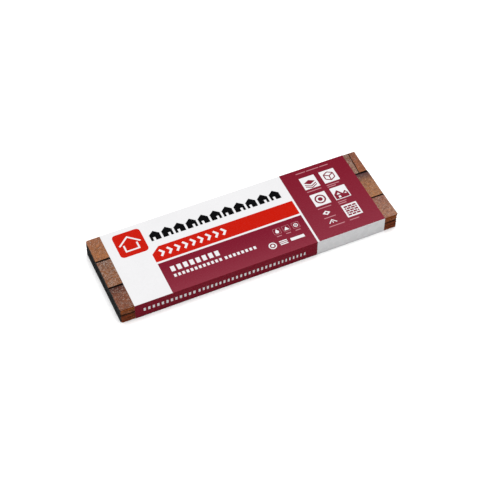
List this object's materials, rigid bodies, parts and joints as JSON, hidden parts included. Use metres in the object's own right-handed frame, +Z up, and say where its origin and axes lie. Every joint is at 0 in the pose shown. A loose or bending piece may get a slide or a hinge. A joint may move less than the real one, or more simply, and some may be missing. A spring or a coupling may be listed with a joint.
{
  "type": "asphalt shingle bundle",
  "caption": "Flat stack of laminated asphalt roofing shingles held by a printed film wrap that leaves both granule-faced ends bare.",
  "frame": {"origin": "middle of the rectangle that the bundle lies on, at floor level", "axes": "+X along the shingles towards the end of the wrap with the five white squares, +Y across them towards the wrap's glued lap, +Z up out of the granule face"},
  "size_m": [1.002, 0.3208, 0.0653],
  "materials": {
    "upper_granules": "matte mineral granules in asphalt, orange-brown to grey-brown",
    "lower_granules": "matte mineral granules in asphalt, dark red-brown",
    "wrap_film": "satin printed film, burgundy, red and white"
  },
  "bodies": {
    "root": {"shingle_01": "lower_granules", "shingle_02": "lower_granules", "shingle_03": "lower_granules", "shingle_04": "lower_granules", "shingle_05": "lower_granules", "shingle_06": "lower_granules", "shingle_07": "lower_granules", "shingle_08": "lower_granules", "shingle_09": "lower_granules", "shingle_10": "upper_granules", "shingle_11": "upper_granules", "shingle_12": "upper_granules", "shingle_13": "upper_granules", "shingle_14": "upper_granules", "shingle_15": "upper_granules", "wrap": "wrap_film"}
  },
  "joints": []
}
